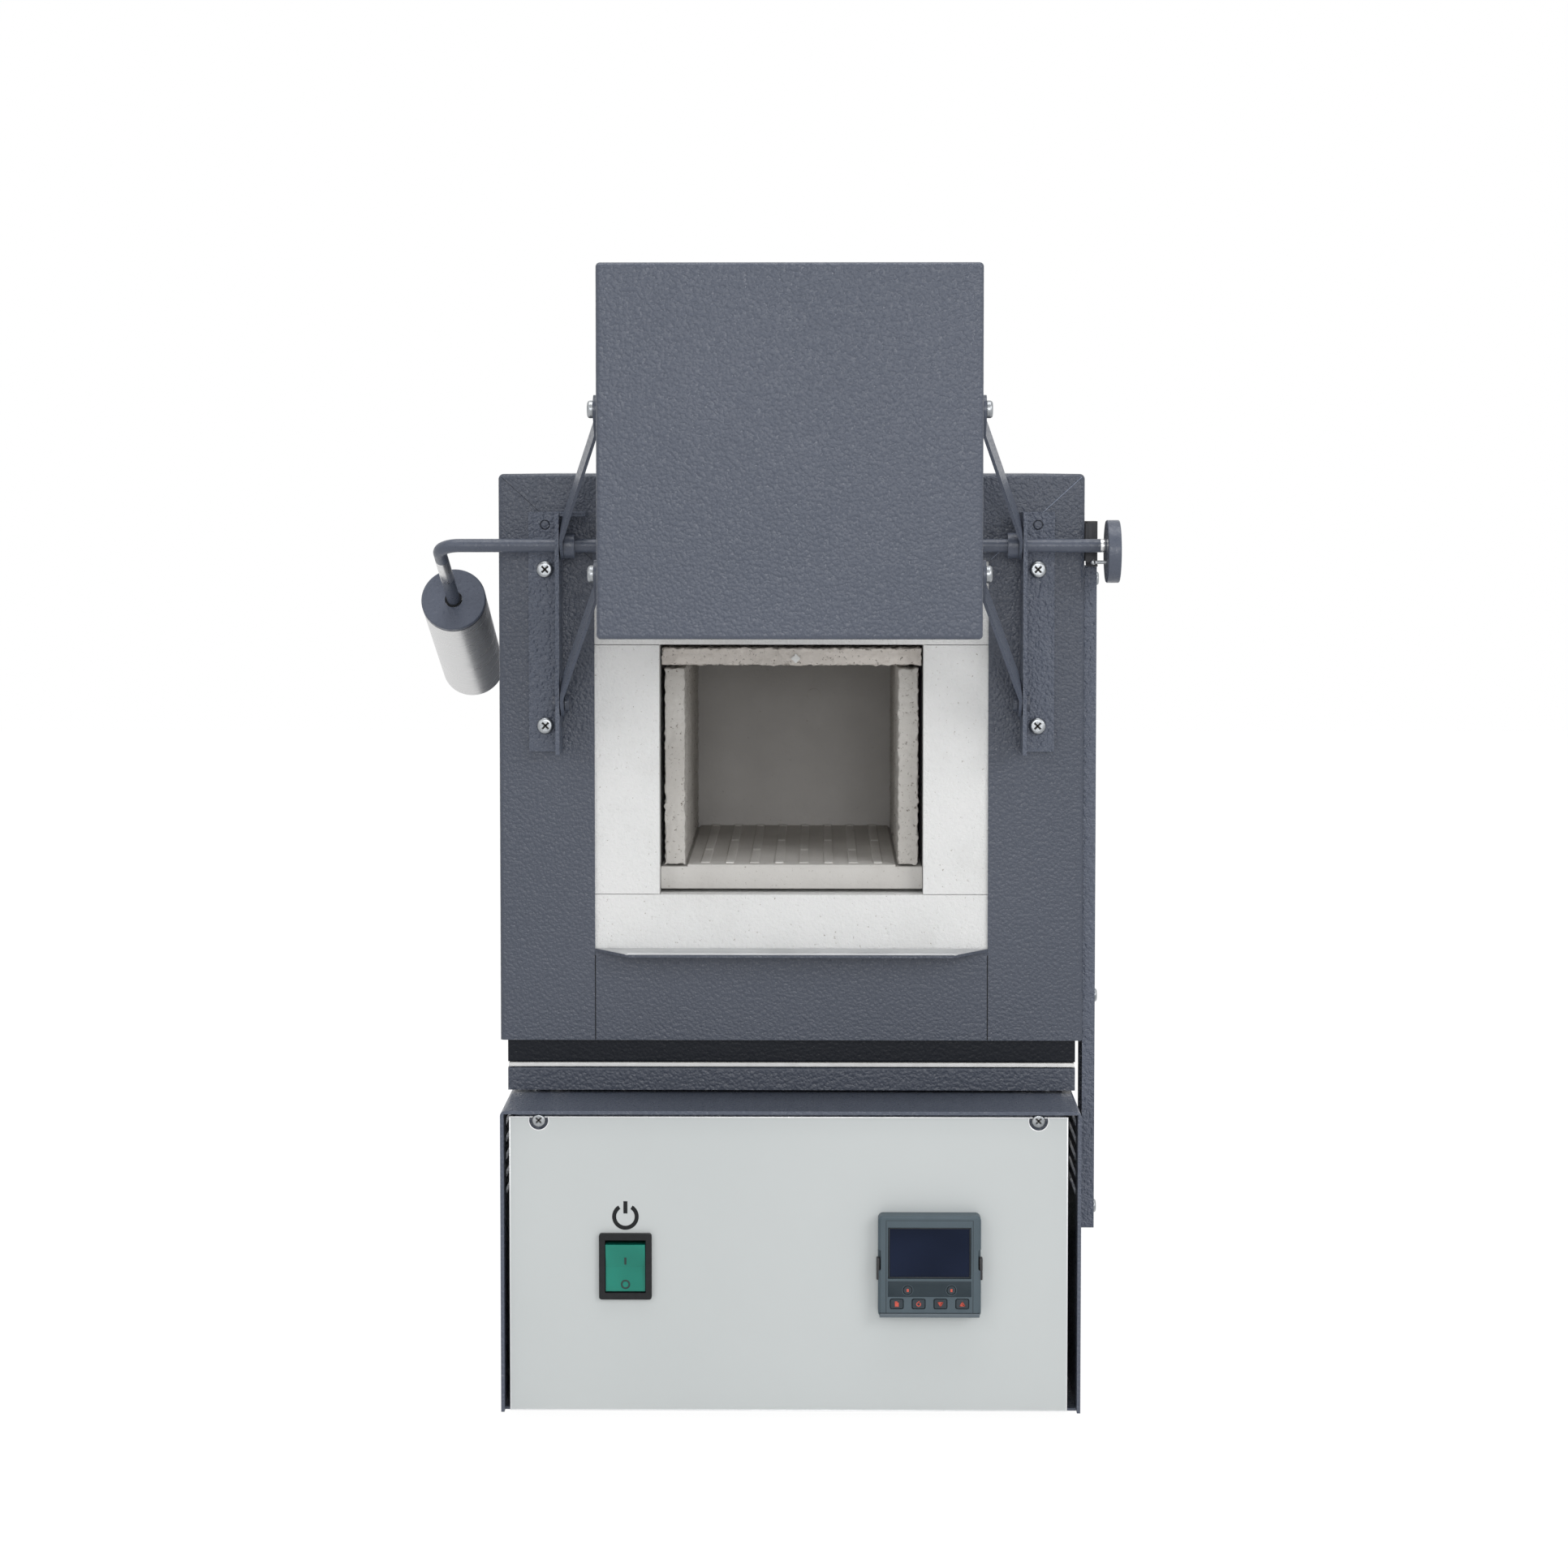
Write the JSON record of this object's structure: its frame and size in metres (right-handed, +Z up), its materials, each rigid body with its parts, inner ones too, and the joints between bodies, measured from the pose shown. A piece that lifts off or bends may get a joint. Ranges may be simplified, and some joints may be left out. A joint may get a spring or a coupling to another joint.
{
  "type": "muffle furnace",
  "caption": "Bench muffle furnace with a brick-lined chamber, a counterweighted swing-up door on parallel links, and a control base with a switch and a controller.",
  "frame": {"origin": "on the bench, under the middle of the whole outline with the door up", "axes": "+X to the user's right, +Y to the rear, +Z up"},
  "size_m": [0.3376, 0.4508, 0.5396],
  "materials": {
    "slate_paint": "satin",
    "panel_paint": "satin",
    "zinc": "satin",
    "steel": "satin",
    "brick": "matte",
    "muffle": "matte",
    "fibre": "matte",
    "black_plastic": "satin",
    "green_plastic": "gloss",
    "controller_plastic": "satin",
    "controller_pane": "gloss",
    "rubber": "matte",
    "aluminium": "satin",
    "sheath": "matte",
    "element": "matte"
  },
  "bodies": {
    "furnace": {"feet": "rubber", "base_wrapper": "slate_paint", "base_pan": "slate_paint", "front_panel": "panel_paint", "panel_screws": "zinc", "switch_body": "black_plastic", "controller_bezel": "controller_plastic", "controller_window": "controller_pane", "controller_sleeve": "black_plastic", "power_inlet": "black_plastic", "circuit_breaker": "black_plastic", "heat_sink": "aluminium", "solid_state_relay": "black_plastic", "terminal_block": "black_plastic", "lower_tray": "slate_paint", "upper_tray": "slate_paint", "tray_bolts": "zinc", "body_case": "slate_paint", "sill_panel": "slate_paint", "body_floor": "slate_paint", "body_back": "slate_paint", "lintel_retainer": "slate_paint", "sill_brick": "brick", "lintel_brick": "brick", "jamb_bricks": "brick", "roof_plate": "muffle", "wall_plates": "muffle", "hearth_plate": "muffle", "rear_plate": "muffle", "insulation_bottom": "fibre", "insulation_top": "fibre", "insulation_sides": "fibre", "insulation_rear": "fibre", "element_leads": "element", "thermocouple": "sheath", "left_bracket": "slate_paint", "right_bracket": "slate_paint", "bracket_screws": "zinc", "pivot_rivets": "zinc", "wiring_channel": "slate_paint", "channel_screws": "zinc", "microswitch": "black_plastic"},
    "shaft": {"door_shaft": "slate_paint", "upper_arms": "slate_paint", "shaft_collars": "slate_paint", "handle_body": "steel", "handle_cap": "slate_paint", "switch_cam": "slate_paint"},
    "door": {"door_shell": "slate_paint", "door_insulation": "fibre", "door_pivots": "zinc"},
    "lower_links": {"lower_arms": "slate_paint"},
    "rocker": {"rocker": "green_plastic"},
    "switch_lever": {"switch_lever": "zinc"},
    "page_key": {"page_key": "controller_plastic"},
    "scroll_key": {"scroll_key": "controller_plastic"},
    "down_key": {"down_key": "controller_plastic"},
    "up_key": {"up_key": "controller_plastic"},
    "auto_button": {"auto_button": "controller_plastic"},
    "run_button": {"run_button": "controller_plastic"}
  },
  "joints": [
    {"name": "door_swing", "type": "hinge", "parent": "furnace", "child": "shaft", "pos_m": [0.0141, -0.14164, 0.4115], "axis": [1, 0, 0], "range_deg": [0, 122.2]},
    {"name": "door_level", "type": "hinge", "parent": "shaft", "child": "door", "pos_m": [0.0141, -0.20871, 0.47448], "axis": [1, 0, 0], "range_deg": [-122.2, 0]},
    {"name": "lower_link_swing", "type": "hinge", "parent": "furnace", "child": "lower_links", "pos_m": [0.0141, -0.14164, 0.3371], "axis": [1, 0, 0], "range_deg": [0, 122.2]},
    {"name": "rocker_tilt", "type": "hinge", "parent": "furnace", "child": "rocker", "pos_m": [-0.0634, -0.16365, 0.0739], "axis": [1, 0, 0], "range_deg": [-12, 0]},
    {"name": "switch_lever_press", "type": "hinge", "parent": "furnace", "child": "switch_lever", "pos_m": [0.1571, -0.12194, 0.4211], "axis": [1, 0, 0], "range_deg": [0, 6], "stiffness_Nm_per_rad": 0.02},
    {"name": "page_key_press", "type": "slide", "parent": "furnace", "child": "page_key", "axis": [0, 1, 0], "range_m": [0, 0.0007], "stiffness_N_per_m": 400},
    {"name": "scroll_key_press", "type": "slide", "parent": "furnace", "child": "scroll_key", "axis": [0, 1, 0], "range_m": [0, 0.0007], "stiffness_N_per_m": 400},
    {"name": "down_key_press", "type": "slide", "parent": "furnace", "child": "down_key", "axis": [0, 1, 0], "range_m": [0, 0.0007], "stiffness_N_per_m": 400},
    {"name": "up_key_press", "type": "slide", "parent": "furnace", "child": "up_key", "axis": [0, 1, 0], "range_m": [0, 0.0007], "stiffness_N_per_m": 400},
    {"name": "auto_button_press", "type": "slide", "parent": "furnace", "child": "auto_button", "axis": [0, 1, 0], "range_m": [0, 0.0007], "stiffness_N_per_m": 400},
    {"name": "run_button_press", "type": "slide", "parent": "furnace", "child": "run_button", "axis": [0, 1, 0], "range_m": [0, 0.0007], "stiffness_N_per_m": 400}
  ],
  "couplings": [
    {"joint": "door_level", "follows": "door_swing", "ratio": -1},
    {"joint": "lower_link_swing", "follows": "door_swing", "ratio": 1}
  ]
}
